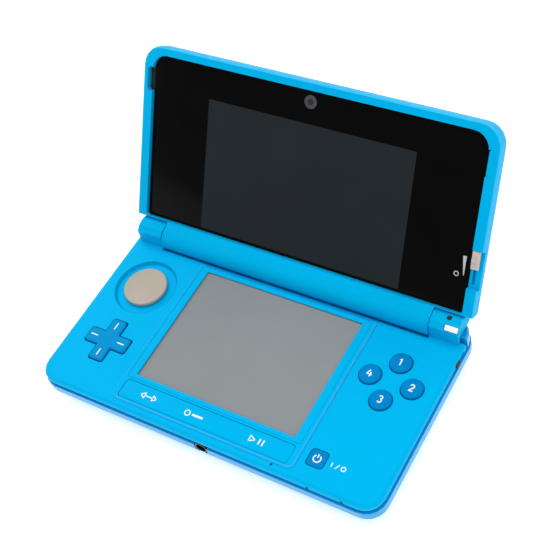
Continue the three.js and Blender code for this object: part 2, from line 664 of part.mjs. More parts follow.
const cardDoor = () => cut(hull(0), hull(memoryDoor.skin)).intersect(doorBox(0));

const stylusPen = () => {
  const { x, z, radius, length, nib, tip } = stylus;
  const point = back - length;
  const cone = new THREE.CylinderGeometry(radius - 0.2, tip, nib, 16);
  cone.translate(x, point + nib / 2, z);
  const nailGrip = box(x - 1.6, x + 1.6, back - 1.2, back + 0.3, z - 1.3, z - 0.6);
  return join(rodY(x, point + nib - 0.2, back - 0.2, z, radius), solidOf(cone), nailGrip);
};

const headphoneJack = () => cut(
  rodY(jack.x, front + 0.1, front + jack.length, jackZ, jack.radius, 20),
  rodY(jack.x, front - past, front + jack.length - 1, jackZ, jack.radius - jack.wall, 16));

const powerInlet = () => {
  const { z, bottom, depth, wall, centre } = chargePort;
  const z0 = bottom + slack;
  return cut(box(centre - portHalf, centre + portHalf, back - depth, back - gap, z0, z0 + z),
    box(centre - portHalf + wall, centre + portHalf - wall, back - depth + 2 * wall, back + past,
      z0 + wall, z0 + z - wall));
};

const hingeUnit = (sx, hollow) => {
  const far = blockInner + hingeBoreReach - gap;
  const span = (near, end) => [Math.min(sx * near, sx * end), Math.max(sx * near, sx * end)];
  const pin = rodX(...span(far - hingePinLength, far), hingeY, hingeZ, hingePinRadius);
  return hollow ? cut(pin, rodX(...span(0, baseWidth), hingeY, hingeZ, hingePinRadius - 1, 16)) : pin;
};

// ---------------------------------------------------------------- lid, drawn closed about the hinge axis

const lidSide = side + lidOverhang;
const lidOutline = { x0: -lidSide, x1: lidSide, y0: -lidLength, y1: -legEnd, r: lidCorner, rBack: 0.6 };
const lensTop = lidLength - lens.fromTop;
const lensZ = lidInner + lens.recess;
const behindLens = lensZ + lens.thickness + gap;
const frameBack = lidInner + frameThickness;
const innerCameraU = lensTop - innerCamera.fromLensTop;
const outerCameraU = lidLength - outerCamera.fromTop;
const channelX = lens.x / 2 + depthKnob.outsideLens;
const channelEnd = depthKnob.top - depthKnob.length - depthKnob.travel - 2 * slack - seam;

const lensOutline = (grow) => ({
  x0: -lens.x / 2 - grow, x1: lens.x / 2 + grow, y0: -lensTop - grow, y1: -lens.bottom + grow,
  r: lens.corner + grow, rBack: 0.8,
});

const barrel = () => {
  const { foot, heel, arc } = barrelOutline(0, true);
  const outline = [foot, ...arc, heel, [-legEnd + gap, lidOuter], [-legEnd + gap, frameBack],
    [-legEnd - 1, frameBack], [-legEnd - 1, lidInner]];
  return extrudedX(outline, -barrelLength / 2, barrelLength / 2);
};

const lidFrame = () => {
  const plate = slab(lidOutline, [[lidInner, 0.5, 0.2], [lidInner + 0.2, 0.15, 0], [lidInner + 0.6, 0],
    [frameBack, 0.2, 0]]);
  const slitX = lens.x / 2 + speakerSlit.outside;
  return cut(join(plate, barrel()),
    slab(lensOutline(gap), [[lidInner - past, 0], [behindLens, 0]]),
    slab(lensOutline(-ledge), [[lidInner - past, 0], [frameBack + past, 0]]),
    rodX(-barrelLength, barrelLength, 0, 0, hingeBoreRadius),
    mirrored((sx) => slab(centred(sx * slitX, -speakerSlit.u, speakerSlit.x, speakerSlit.length, 1),
      [[lidInner - past, 0], [lensZ + 0.8, 0]])),
    box(channelX, lidSide + past, -depthKnob.top - slack, -channelEnd,
      lidInner - past, lidInner + depthKnob.depth),
    box(channelX + 1.1, channelX + 2.1, -depthKnob.top + 1.4, -channelEnd - 1.2, lidInner, lidInner + 2.9));
};

const lidCover = () => cut(
  slab(lidOutline, [[frameBack + gap, 0.25, 0], [lidOuter - 2.2, 0.6, 0], [lidOuter - 0.9, 1.2, 0.1],
    [lidOuter - 0.2, 2.2, 0.2], [lidOuter, 3.2, 0.4]]),
  slab({ x0: -lidSide + coverRim.wall, x1: lidSide - coverRim.wall, y0: -lidLength + coverRim.wall,
    y1: -legEnd - coverRim.hingeWall, r: coverRim.corner }, [[0, 0], [lidOuter - coverWall, 0]]),
  mirrored((sx) => disc(sx * outerCamera.spacing / 2, -outerCameraU, 0, lidOuter + past,
    outerCamera.radius + seam)));

const screenLens = () => cut(slab(lensOutline(0), [[lensZ, 0], [lensZ + lens.thickness, 0]]),
  disc(0, -innerCameraU, lensZ - past, behindLens, innerCamera.radius + seam, 20));

const displayModule = () => slab(
  { x0: -display.x / 2, x1: display.x / 2, y0: -display.bottom - display.length, y1: -display.bottom, r: 0.8,
    steps: 2 },
  [[behindLens, 0], [behindLens + display.thickness, 0]]);

const innerEye = () => {
  const { radius, body, bodyHeight } = innerCamera;
  const u = innerCameraU;
  const half = body / 2;
  return join(disc(0, -u, lensZ + slack, behindLens - 0.05, radius, 20),
    box(-half, half, -u - half + 0.2, -u + half - 0.2, behindLens - 0.15, behindLens + bodyHeight));
};

const outerEye = (sx) => {
  const { radius, spacing, inside } = outerCamera;
  return turned(sx * spacing / 2, -outerCameraU, [
    [0, inside], [radius, inside], [radius, lidOuter - 0.15], [radius - 0.7, lidOuter - 0.15],
    [radius - 1.1, lidOuter - 0.6], [0, lidOuter - 0.6],
  ]);
};

const speakerBox = (sx) => slab(
  centred(sx * (lens.x / 2 - speaker.insideLens), -speaker.u, speaker.x, speaker.y, 1.5),
  [[behindLens, 0], [behindLens + speaker.thickness, 0]]);

const depthSlider = () => {
  const x = channelX + gap;
  const floor = lidInner + depthKnob.depth - slack;
  const y0 = -depthKnob.top;
  const y1 = y0 + depthKnob.length;
  const middle = (y0 + y1) / 2;
  const wedge = [[y0, floor], [y1, floor], [y1, lidInner + 0.4], [middle + 0.35, lidInner + 0.15],
    [middle, lidInner - 0.1], [middle - 0.35, lidInner + 0.15], [y0, lidInner + 0.25]];
  return join(extrudedX(wedge, x, x + depthKnob.width),
    box(x + 1.05, x + 1.55, middle - 1, middle + 1, floor - 0.1, lidInner + 2.6));
};

// ---------------------------------------------------------------- assembly

add(handheld, "bottom_cover", "shell", "satin", bottomCover());
add(handheld, "lower_shell", "gloss", "glossy", lowerShell());
add(handheld, "face_shell", "shell", "satin", faceShell());
["left", "right"].forEach((name, i) => {
  const sx = 2 * i - 1;
  add(handheld, `cover_screw_${name}`, "steel", "metal", coverScrew(sx));
  add(handheld, `shoulder_button_${name}`, "gloss", "glossy", shoulderButton(sx));
  add(handheld, `shoulder_pin_${name}`, "steel", "metal", shoulderPivot(sx));
  add(lid, `speaker_${name}`, "dark", "matte", speakerBox(sx));
  add(lid, `outer_camera_${name}`, "black", "glossy", outerEye(sx));
});
postPlaces.forEach((place, i) => add(handheld, `shell_screw_${i + 1}`, "steel", "metal", baseScrew(place)));
add(handheld, "hinge_click_unit", "steel", "metal", hingeUnit(1, false));
add(handheld, "hinge_cable_sleeve", "dark", "matte", hingeUnit(-1, true));
add(handheld, "touch_screen", "touch", "glossy", touchScreen());
add(handheld, "touch_bezel", "shell", "satin", touchBezel());
add(handheld, "menu_strip", "shell", "satin", stripKeys());
add(handheld, "menu_membrane", "rubber", "matte", stripMembrane());
buttonPlaces.forEach((place, i) => {
  add(handheld, `face_button_${i + 1}`, "key", "glossy", roundButton(place));
});
add(handheld, "button_membrane", "rubber", "matte", buttonMembrane());
add(handheld, "direction_pad", "key", "glossy", dpadKey());
add(handheld, "direction_pivot", "dark", "matte", dpadPivot());
add(handheld, "direction_membrane", "rubber", "matte", dpadMembrane());
add(handheld, "circle_cap", "cap", "matte", circleCapSolid());
add(handheld, "circle_plate", "dark", "matte", circlePlate());
add(handheld, "circle_carriage", "dark", "matte", circleCarriage());
add(handheld, "power_button", "key", "glossy", powerButton());
add(handheld, "volume_slider", "dark", "matte", volumeKnob());
add(handheld, "wireless_switch", "dark", "matte", wirelessKnob());
add(handheld, "battery", "battery", "matte", batteryPack());
add(handheld, "main_board", "board", "matte", mainBoard());
add(handheld, "game_card_reader", "steel", "metal", cardReader());
add(handheld, "memory_card_reader", "steel", "metal", memoryReader());
add(handheld, "memory_card_door", "gloss", "glossy", cardDoor());
add(handheld, "stylus", "dark", "matte", stylusPen());
add(handheld, "headphone_jack", "black", "glossy", headphoneJack());
add(handheld, "charge_port", "black", "matte", powerInlet());
add(handheld, "infrared_window", "black", "glossy", infraredBox(0));
Object.entries(lightPlaces).forEach(([name, x]) => {
  const y = front + faceRise.outline;
  add(handheld, name, "dark", "glossy", rodY(x, y, y + lightPin.length, lightZ, lightPin.radius, 10));
});
add(handheld, "light_status", "white", "glossy", statusLight(0).intersect(hingeBlock(1)));
add(handheld, "block_plug", "black", "matte", disc(plugAt.x, plugAt.y, plugAt.top - plug.depth, plugAt.top,
  plug.radius, 12));
add(lid, "lid_frame", "shell", "satin", lidFrame());
add(lid, "lid_cover", "shell", "glossy", lidCover());
add(lid, "screen_lens", "panel", "glossy", screenLens());
add(lid, "display_module", "dark", "glossy", displayModule());
add(lid, "inner_camera", "black", "glossy", innerEye());
add(lid, "depth_slider", "knob", "matte", depthSlider());

export default handheld;
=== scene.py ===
import json
import math

import bmesh
import bpy
from mathutils import Matrix, Vector


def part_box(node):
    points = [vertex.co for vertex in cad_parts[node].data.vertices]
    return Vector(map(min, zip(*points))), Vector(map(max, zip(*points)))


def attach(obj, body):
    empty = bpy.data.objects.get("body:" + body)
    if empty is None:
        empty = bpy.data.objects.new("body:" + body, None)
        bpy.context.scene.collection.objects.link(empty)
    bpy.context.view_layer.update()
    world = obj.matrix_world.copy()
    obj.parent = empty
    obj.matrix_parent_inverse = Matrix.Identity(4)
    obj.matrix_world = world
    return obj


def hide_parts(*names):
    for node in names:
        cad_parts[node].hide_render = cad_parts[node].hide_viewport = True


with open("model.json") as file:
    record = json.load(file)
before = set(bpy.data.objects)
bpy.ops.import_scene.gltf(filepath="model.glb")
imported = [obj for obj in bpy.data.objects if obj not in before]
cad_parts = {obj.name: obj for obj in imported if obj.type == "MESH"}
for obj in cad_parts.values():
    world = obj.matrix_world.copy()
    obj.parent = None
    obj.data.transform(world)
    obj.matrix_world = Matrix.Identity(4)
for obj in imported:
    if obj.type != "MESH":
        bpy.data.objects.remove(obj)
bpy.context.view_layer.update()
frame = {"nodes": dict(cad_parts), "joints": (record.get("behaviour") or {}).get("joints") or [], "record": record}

# Sizes and heights below are in mm; meshes, lights and the camera are placed in metres.
MM = 0.001
WELD = 0.002 * MM  # vertices closer than this are one

# ---------------------------------------------------------------- places read from the frame


def low(node):
    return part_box(node)[0] / MM


def high(node):
    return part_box(node)[1] / MM


def middle(node):
    return (low(node) + high(node)) / 2


def joint(name):
    return next(j for j in frame["joints"] if j["name"] == name)


def corners(points):
    """(lowest, highest) corner of the box round some points."""
    return (Vector(min(p[i] for p in points) for i in range(3)),
            Vector(max(p[i] for p in points) for i in range(3)))


def vertices_of(node):
    return [vertex.co for vertex in frame["nodes"][node].data.vertices]


HINGE = Vector(joint("lid_hinge")["pos_m"])
UP_LID = -Vector(joint("depth_slide")["axis"])
LID_FRONT = Vector((1, 0, 0)).cross(UP_LID)

# On the open lid: x across, y up from the hinge line, z towards the player.
LID = Matrix((
    (1, UP_LID.x, LID_FRONT.x, HINGE.x),
    (0, UP_LID.y, LID_FRONT.y, HINGE.y),
    (0, UP_LID.z, LID_FRONT.z, HINGE.z),
    (0, 0, 0, 1),
))


def lid_box(node):
    """(lowest, highest) corner of a node in the lid's own axes."""
    inverse = LID.inverted()
    return corners([inverse @ point / MM for point in vertices_of(node)])


def top_face(node):
    """(lowest, highest) corner of what lies at the very top of a node."""
    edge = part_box(node)[1].z - WELD
    return corners([point / MM for point in vertices_of(node) if point.z > edge])


# ---------------------------------------------------------------- materials

WORN_AND_HIGHLIT_FACES = "worn_and_highlit"  # face attribute that is 1 on the narrow faces of a rounded-off edge, where wear and a painted highlight are laid
UNEVEN_EDGE_SCALE = 260
LEAST_WEAR_AND_HIGHLIGHT = 0.7  # share of the wear and painted highlight that is left where it is faintest
POINTED = (0.52, 0.62)  # pointiness where wear and painted highlight begin, and where they are full
FLAKE_SCALE = 4200
FLAKE_REACH = 0.55
FLAKE_GLINT = 1.3
GLOSS_SCALE = 0.12  # scale of the uneven gloss as a share of the grain's
LEAST_ROUGHNESS = 0.02
GRAIN_HEIGHT = 0.02 * MM


def srgb(r, g, b):
    def linear(v):
        v /= 255
        return v / 12.92 if v <= 0.04045 else ((v + 0.055) / 1.055) ** 2.4
    return (linear(r), linear(g), linear(b))


def scaled(colour, share, lift=0.0):
    return tuple(min(1, c * share + lift) for c in colour)


def noise(tree, coords, scale, detail=3.0):
    node = tree.nodes.new("ShaderNodeTexNoise")
    node.inputs["Scale"].default_value = scale
    node.inputs["Detail"].default_value = detail
    tree.links.new(coords, node.inputs["Vector"])
    return node.outputs["Fac"]


def span(tree, value, low_out, high_out, low_in=0.35, high_in=0.65):
    node = tree.nodes.new("ShaderNodeMapRange")
    node.inputs["From Min"].default_value = low_in
    node.inputs["From Max"].default_value = high_in
    node.inputs["To Min"].default_value = low_out
    node.inputs["To Max"].default_value = high_out
    tree.links.new(value, node.inputs["Value"])
    return node.outputs["Result"]


def mixed(tree, factor, a, b):
    node = tree.nodes.new("ShaderNodeMix")
    node.data_type = "RGBA"
    for socket, value in (("A", a), ("B", b)):
        if isinstance(value, tuple):
            node.inputs[socket].default_value = (*value, 1)
        else:
            tree.links.new(value, node.inputs[socket])
    tree.links.new(factor, node.inputs["Factor"])
    return node.outputs["Result"]


def flaked(tree, coords, tone, colour, flake):
    """Small bright flakes in the paint."""
    cells = tree.nodes.new("ShaderNodeTexVoronoi")
    cells.inputs["Scale"].default_value = FLAKE_SCALE
    tree.links.new(coords, cells.inputs["Vector"])
    glint = span(tree, cells.outputs["Distance"], flake, 0, 0.0, FLAKE_REACH)
    return mixed(tree, glint, tone, scaled(colour, FLAKE_GLINT))


def edge_wear_and_highlight(tree, coords, wear_and_highlight, rounded_edges):
    """How worn a point is, and how strong the painted highlight on it is: uneven on rounded-off edges, or by
    pointiness on the plain solids.
    """
    if not rounded_edges:
        pointed = tree.nodes.new("ShaderNodeNewGeometry").outputs["Pointiness"]
        return span(tree, pointed, 0, wear_and_highlight, *POINTED)
    edge = tree.nodes.new("ShaderNodeAttribute")
    edge.attribute_name = WORN_AND_HIGHLIT_FACES
    uneven_wear_and_highlight = span(tree, noise(tree, coords, UNEVEN_EDGE_SCALE, 5), wear_and_highlight * LEAST_WEAR_AND_HIGHLIGHT, wear_and_highlight)
    worn_and_highlit = tree.nodes.new("ShaderNodeMath")
    worn_and_highlit.operation = "MULTIPLY"
    tree.links.new(edge.outputs["Fac"], worn_and_highlit.inputs[0])
    tree.links.new(uneven_wear_and_highlight, worn_and_highlit.inputs[1])
    return worn_and_highlit.outputs["Value"]


WORN_AND_HIGHLIT_TINT = (1.15, 0.1)  # the worn edge with its painted highlight is this many times the paint, plus this much


def surface(name, colour, roughness, metallic=0.0, specular=0.5, tinted=False, coat=0.0,
            coat_roughness=0.05, coat_ior=1.5, vary=0.06, blotch=55, grain=2600, grain_depth=0.05,
            rough_vary=0.06, flake=0.0, wear_and_highlight=0.12, rounded_edges=False):
    """A moulded or painted surface: slow colour drift, fine grain, uneven gloss, flakes, and worn edges paled
    further by a painted highlight.
    """
    material = bpy.data.materials.new(name)
    material.use_nodes = True
    tree = material.node_tree
    shader = tree.nodes["Principled BSDF"]
    coords = tree.nodes.new("ShaderNodeTexCoord").outputs["Object"]

    drift = span(tree, noise(tree, coords, blotch, 4), 0, 1)
    tone = mixed(tree, drift, scaled(colour, 1 - vary), scaled(colour, 1 + vary))
    if flake:
        tone = flaked(tree, coords, tone, colour, flake)
    worn_and_highlit = edge_wear_and_highlight(tree, coords, wear_and_highlight, rounded_edges)
    # paler paint on edges and pointed places: real wear together with a painted highlight
    tree.links.new(mixed(tree, worn_and_highlit, tone, scaled(colour, *WORN_AND_HIGHLIT_TINT)), shader.inputs["Base Color"])

    gloss = span(tree, noise(tree, coords, grain * GLOSS_SCALE, 4),
                 max(LEAST_ROUGHNESS, roughness - rough_vary / 2), roughness + rough_vary / 2)
    tree.links.new(gloss, shader.inputs["Roughness"])
    bump = tree.nodes.new("ShaderNodeBump")
    bump.inputs["Strength"].default_value = grain_depth
    bump.inputs["Distance"].default_value = GRAIN_HEIGHT
    tree.links.new(noise(tree, coords, grain, 2), bump.inputs["Height"])
    tree.links.new(bump.outputs["Normal"], shader.inputs["Normal"])
    shader.inputs["Metallic"].default_value = metallic
    shader.inputs["Specular IOR Level"].default_value = specular
    if tinted:
        shader.inputs["Specular Tint"].default_value = (*colour, 1)
    shader.inputs["Coat Weight"].default_value = coat
    shader.inputs["Coat Roughness"].default_value = coat_roughness
    shader.inputs["Coat IOR"].default_value = coat_ior
    return material


# the strong edge term here paints pale highlight lines along the rounded edges, on top of some wear
FACE_PAINT = surface("face_paint", srgb(0, 171, 224), 0.5, metallic=0.1, vary=0.02, grain=5200,
                     grain_depth=0.25, specular=0.12, tinted=True, flake=0.15, blotch=38, wear_and_highlight=0.5,
                     rounded_edges=True)
HULL_PAINT = surface("hull_paint", srgb(8, 154, 214), 0.3, vary=0.015, grain=5200, grain_depth=0.05,
                     specular=0.3, tinted=True, coat=0.35, coat_roughness=0.12, coat_ior=1.6,
                     rough_vary=0.03, wear_and_highlight=0.12, rounded_edges=True)
KEY_BLUE = surface("key_blue", srgb(0, 122, 186), 0.3, metallic=0.15, vary=0.03, grain=4200,
                   grain_depth=0.05, specular=0.1, tinted=True, wear_and_highlight=0.08, rounded_edges=True)
PAD_BLUE = surface("pad_blue", srgb(0, 140, 200), 0.4, vary=0.03, grain=4200, grain_depth=0.08,
                   specular=0.15, tinted=True, wear_and_highlight=0.06, rounded_edges=True)
CAP_GREY = surface("cap_grey", srgb(174, 166, 152), 0.7, vary=0.04, grain=3600, grain_depth=0.4,
                   specular=0.25)
PANEL_BLACK = surface("panel_black", (0.0008, 0.001, 0.0008), 0.1, vary=0.3, grain=900,
                      grain_depth=0.0, specular=0.04, rough_vary=0.03, wear_and_highlight=0.02)
WINDOW_DARK = surface("window_dark", srgb(34, 39, 43), 0.16, vary=0.03, grain=900,
                      grain_depth=0.0, specular=0.04, rough_vary=0.03, wear_and_highlight=0.02)
TOUCH_GREY = surface("touch_grey", srgb(130, 135, 138), 0.55, vary=0.02, grain=6500,
                     grain_depth=0.12, specular=0.2)
MATTE_BLACK = surface("matte_black", srgb(26, 27, 29), 0.55, vary=0.1, grain=3000, grain_depth=0.2,
                      specular=0.3)
GLOSS_BLACK = surface("gloss_black", srgb(12, 13, 15), 0.12, vary=0.1, grain=1800, grain_depth=0.03)
SLIDER_GREY = surface("slider_grey", srgb(198, 184, 178), 0.5, vary=0.03, grain=4000,
                      grain_depth=0.15, specular=0.3)
RUBBER_GREY = surface("rubber_grey", srgb(110, 112, 114), 0.7, grain=3000, grain_depth=0.2)
BOARD_GREEN = surface("board_green", srgb(30, 105, 60), 0.4, vary=0.12, grain=1500, grain_depth=0.2)
CELL_GREY = surface("cell_grey", srgb(143, 148, 154), 0.5, vary=0.05, grain=2500, grain_depth=0.1)
STEEL = surface("steel", (0.55, 0.56, 0.58), 0.3, metallic=1.0, vary=0.08, grain=3200,
                grain_depth=0.15)
LIGHT_WHITE = surface("light_white", srgb(240, 246, 250), 0.3, vary=0.02, grain=2500, coat=0.3)
PRINT_WHITE = surface("print_white", srgb(226, 238, 246), 0.6, vary=0.04, grain=4000,
                      grain_depth=0.1, specular=0.2)
PRINT_GREY = surface("print_grey", srgb(180, 182, 184), 0.6, vary=0.04, grain=4000,
                     grain_depth=0.1, specular=0.2)
EYE_RING = surface("eye_ring", srgb(66, 67, 70), 0.45, grain=2500, grain_depth=0.1, specular=0.2)

FINISH = {
    "face_blue": FACE_PAINT, "hull_blue": HULL_PAINT, "key_blue": KEY_BLUE, "cap_grey": CAP_GREY,
    "gloss_black": GLOSS_BLACK, "screen_glass": PANEL_BLACK, "touch_film": TOUCH_GREY,
    "matte_black": MATTE_BLACK, "slider_grey": SLIDER_GREY, "membrane": RUBBER_GREY,
    "board_green": BOARD_GREEN, "cell_grey": CELL_GREY, "steel": STEEL, "light_white": LIGHT_WHITE,
}
SLOT = {entry["node"]: entry["material_slot"] for entry in frame["record"]["subparts"]}
BODY = {node: body for body, nodes in frame["record"]["behaviour"]["bodies"].items() for node in nodes}

for node, obj in frame["nodes"].items():
    obj.data.materials.clear()
    obj.data.materials.append(FINISH[SLOT[node]])
    obj.data.polygons.foreach_set("use_smooth", [False] * len(obj.data.polygons))

# ---------------------------------------------------------------- making pieces

FLAT_WITHIN = math.radians(0.6)
ROUNDED_OVER = math.radians(24)
FOLDED_OVER = math.radians(3)
NARROW = 0.5 * MM  # strips narrower than this count as a worn edge that also gets a painted highlight
ON_AXIS = 1e-6
LEAST_ROUND = 0.05
STROKE_DEPTH = 0.05
PRINT = 0.03  # how far a printed mark stands above its surface
BASE_AXES = Matrix.Identity(4)


def piece(name, mesh, material, body, slot, *nodes):
    """A finished mesh in the row frame becomes a piece that rides on body and stands for nodes."""
    mesh.materials.append(material)
    obj = bpy.data.objects.new(name, mesh)
    bpy.context.scene.collection.objects.link(obj)
    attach(obj, body)
    if nodes:
        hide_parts(*nodes)
    return obj


def mesh_of(name, bm, sharp_over=32):
    """Turns a bmesh into a mesh that is smooth except across edges sharper than an angle in degrees."""
    bmesh.ops.recalc_face_normals(bm, faces=bm.faces)
    for face in bm.faces:
        face.smooth = True
    for edge in bm.edges:
        edge.smooth = edge.is_manifold and edge.calc_face_angle(0) < math.radians(sharp_over)
    mesh = bpy.data.meshes.new(name)
    bm.to_mesh(mesh)
    bm.free()
    return mesh


def mark_worn_and_highlit(bm, worn_and_highlit):
    """Marks the narrow faces that fold away from their neighbour along their longest edge, for wear and a painted
    highlight.
    """
    for face in bm.faces:
        longest = max(face.edges, key=lambda edge: edge.calc_length())
        narrow = face.calc_area() < NARROW * face.calc_perimeter() / 2
        if narrow and longest.calc_face_angle(0) > FOLDED_OVER:
            face[worn_and_highlit] = 1


def refined(node, width, material=None):
    """The node's own solid with its corners rounded off; it stands for the node."""
    bm = bmesh.new()
    bm.from_mesh(frame["nodes"][node].data)
    bmesh.ops.remove_doubles(bm, verts=bm.verts, dist=WELD)
    bmesh.ops.dissolve_limit(bm, angle_limit=FLAT_WITHIN, verts=bm.verts, edges=bm.edges,
                             use_dissolve_boundaries=False)
    worn_and_highlit = bm.faces.layers.float.new(WORN_AND_HIGHLIT_FACES)
    sharp = [e for e in bm.edges if e.is_manifold and e.calc_face_angle(0) > ROUNDED_OVER]
    bmesh.ops.bevel(bm, geom=sharp, offset=width * MM, offset_type="OFFSET", segments=3, profile=0.5,
                    affect="EDGES", clamp_overlap=True)
    mark_worn_and_highlit(bm, worn_and_highlit)
    obj = piece("fine_" + node, mesh_of("fine_" + node, bm, sharp_over=40),
                material or FINISH[SLOT[node]], BODY[node], SLOT[node], node)
    normals = obj.modifiers.new("normals", "WEIGHTED_NORMAL")
    normals.keep_sharp = True
    normals.mode = "FACE_AREA"
    normals.weight = 100
    return obj


def lathe(profile, matrix, sides=64):
    """Turns (radius, height) points about the matrix's own z line; both ends lie on that line."""
    bm = bmesh.new()
    rings = []
    for radius, height in profile:
        if radius < ON_AXIS:
            rings.append([bm.verts.new(matrix @ Vector((0, 0, height * MM)))])
            continue
        turns = [2 * math.pi * i / sides for i in range(sides)]
        points = [Vector((radius * math.cos(a), radius * math.sin(a), height)) for a in turns]
        rings.append([bm.verts.new(matrix @ (point * MM)) for point in points])
    for lower, upper in zip(rings, rings[1:]):
        for i in range(sides):
            j = (i + 1) % sides
            loop = [lower[i % len(lower)], lower[j % len(lower)],
                    upper[j % len(upper)], upper[i % len(upper)]]
            unique = list(dict.fromkeys(loop))
            if len(unique) > 2:
                bm.faces.new(unique)
    return bm


def arc(cx, cy, radius, start, end, steps):
    """Points of an arc, angles in degrees."""
    return [(cx + radius * math.cos(math.radians(start + (end - start) * i / steps)),
             cy + radius * math.sin(math.radians(start + (end - start) * i / steps)))
            for i in range(steps + 1)]


def circle(cx, cy, radius, steps):
    return arc(cx, cy, radius, 0, 360, steps)[:-1]


def rounded_outline(x0, x1, y0, y1, radius, front_radius=None, steps=10):
    r = radius
    f = radius if front_radius is None else front_radius
    return (arc(x1 - f, y0 + f, f, -90, 0, steps) + arc(x1 - r, y1 - r, r, 0, 90, steps)
            + arc(x0 + r, y1 - r, r, 90, 180, steps) + arc(x0 + f, y0 + f, f, 180, 270, steps))


def ring_of(bm, outline, height, matrix):
    return [bm.verts.new(matrix @ (Vector((x, y, height)) * MM)) for x, y in outline]


def skin(bm, lower, upper):
    """Joins two rings of as many vertices by a band of faces."""
    count = len(lower)
    for i in range(count):
        j = (i + 1) % count
        bm.faces.new((lower[i], lower[j], upper[j], upper[i]))


def slab(x0, x1, y0, y1, radius, layers, matrix, front_radius=None):
    """A rounded rectangle through layers of (height, inset)."""
    bm = bmesh.new()
    rings = []
    for height, inset in layers:
        front = None if front_radius is None else max(LEAST_ROUND, front_radius - inset)
        outline = rounded_outline(x0 + inset, x1 - inset, y0 + inset, y1 - inset,
                                  max(LEAST_ROUND, radius - inset), front)
        rings.append(ring_of(bm, outline, height, matrix))
    for lower, upper in zip(rings, rings[1:]):
        skin(bm, lower, upper)
    bm.faces.new(list(reversed(rings[0])))
    bm.faces.new(rings[-1])
    return bm


def ribbon(bm, points, width, matrix, height, closed):
    """A flat printed stroke along points; height is a number, or a function of x and y."""
    count = len(points)
    raised = height if callable(height) else (lambda x, y: height)
    rows = []
    for i, (x, y) in enumerate(points):
        before = points[i - 1] if i or closed else points[i]
        after = points[(i + 1) % count] if i + 1 < count or closed else points[i]
        along = Vector((after[0] - before[0], after[1] - before[1])).normalized()
        side = Vector((-along.y, along.x)) * width / 2
        row = []
        for sign, drop in ((1, 0), (-1, 0), (-1, STROKE_DEPTH), (1, STROKE_DEPTH)):
            px, py = x + sign * side.x, y + sign * side.y
            row.append(bm.verts.new(matrix @ (Vector((px, py, raised(px, py) - drop)) * MM)))
        rows.append(row)
    for a, b in list(zip(rows, rows[1:])) + ([(rows[-1], rows[0])] if closed else []):
        for i in range(4):
            j = (i + 1) % 4
            bm.faces.new((a[i], b[i], b[j], a[j]))
    if not closed:
        bm.faces.new(rows[0])
        bm.faces.new(list(reversed(rows[-1])))


def dense(points, step=0.25):
    """The same path with points no further apart than step."""
    out = [points[0]]
    for (x0, y0), (x1, y1) in zip(points, points[1:]):
        count = max(1, math.ceil(math.hypot(x1 - x0, y1 - y0) / step))
        out += [(x0 + (x1 - x0) * i / count, y0 + (y1 - y0) * i / count) for i in range(1, count + 1)]
    return out


def printed(name, strokes, matrix, height, material, body, slot):
    """Several strokes, (points, width) or (points, width, closed), as one thin printed piece."""
    bm = bmesh.new()
    for points, width, *closed in strokes:
        ribbon(bm, points, width, matrix, height, bool(closed))
    return piece(name, mesh_of(name, bm), material, body, slot)


def at(x, y, z):
    return Matrix.Translation(Vector((x, y, z)) * MM)


# ---------------------------------------------------------------- shells and trim taken from the solids

for node, width in {
    "face_shell": 0.14, "lower_shell": 0.12, "lid_frame": 0.14, "lid_cover": 0.14, "bottom_cover": 0.12,
    "shoulder_button_left": 0.2, "shoulder_button_right": 0.2, "power_button": 0.12,
    "volume_slider": 0.12, "wireless_switch": 0.12, "memory_card_door": 0.08, "stylus": 0.12,
    "charge_port": 0.1, "infrared_window": 0.1, "light_status": 0.1, "game_card_reader": 0.08,
    "hinge_click_unit": 0.2, "hinge_cable_sleeve": 0.15, "depth_slider": 0.12,
}.items():
    refined(node, width)
refined("direction_pad", 0.16, PAD_BLUE)

# ---------------------------------------------------------------- touch panel

PLATEAU = high("menu_strip").z
PLATEAU_RISE = 0.7
FACE_TOP = PLATEAU - PLATEAU_RISE
CLOSER = 0.13  # how far the finished trim reaches into the gap round it
LAP = 0.45  # how far the bezel laps over the touch film
OPENING_CORNER = 0.5
BEZEL_EDGE = [(0.12, 0), (0.03, 0.04), (0, 0.13)]  # (below the top, inset) of its rounded edge
STRIP_EDGE = [(0.9, 0), (0.2, 0), (0.06, 0.05), (0, 0.18)]
STRIP_HALF = Vector((33, 3.3))
TRIM_CORNER = 1


def make_bezel():
    foot, far = low("touch_bezel"), high("touch_bezel")
    film_low, film_high = top_face("touch_screen")
    edge = [(foot.z, 0)] + [(PLATEAU - drop, inset) for drop, inset in BEZEL_EDGE]
    bm = bmesh.new()
    loops = []
    for height, inset in edge:
        reach = CLOSER - inset
        outline = rounded_outline(foot.x - reach, far.x + reach, foot.y - reach, far.y + reach,
                                  TRIM_CORNER + reach)
        loops.append(ring_of(bm, outline, height, BASE_AXES))
    for height, inset in reversed(edge):
        lap = LAP - inset
        outline = rounded_outline(film_low.x + lap, film_high.x - lap, film_low.y + lap, film_high.y - lap,
                                  OPENING_CORNER + inset)
        loops.append(ring_of(bm, outline, height, BASE_AXES))
    for lower, upper in zip(loops, loops[1:] + loops[:1]):
        skin(bm, lower, upper)
    piece("bezel", mesh_of("bezel", bm), FACE_PAINT, "base", "face_blue", "touch_bezel")


def make_menu_strip():
    y = middle("menu_strip").y
    half_x, half_y = STRIP_HALF + Vector((CLOSER, CLOSER))
    bm = slab(-half_x, half_x, y - half_y, y + half_y, TRIM_CORNER + CLOSER,
              [(PLATEAU - drop, inset) for drop, inset in STRIP_EDGE], BASE_AXES)
    piece("strip", mesh_of("strip", bm), FACE_PAINT, "menu_keys", "face_blue", "menu_strip")


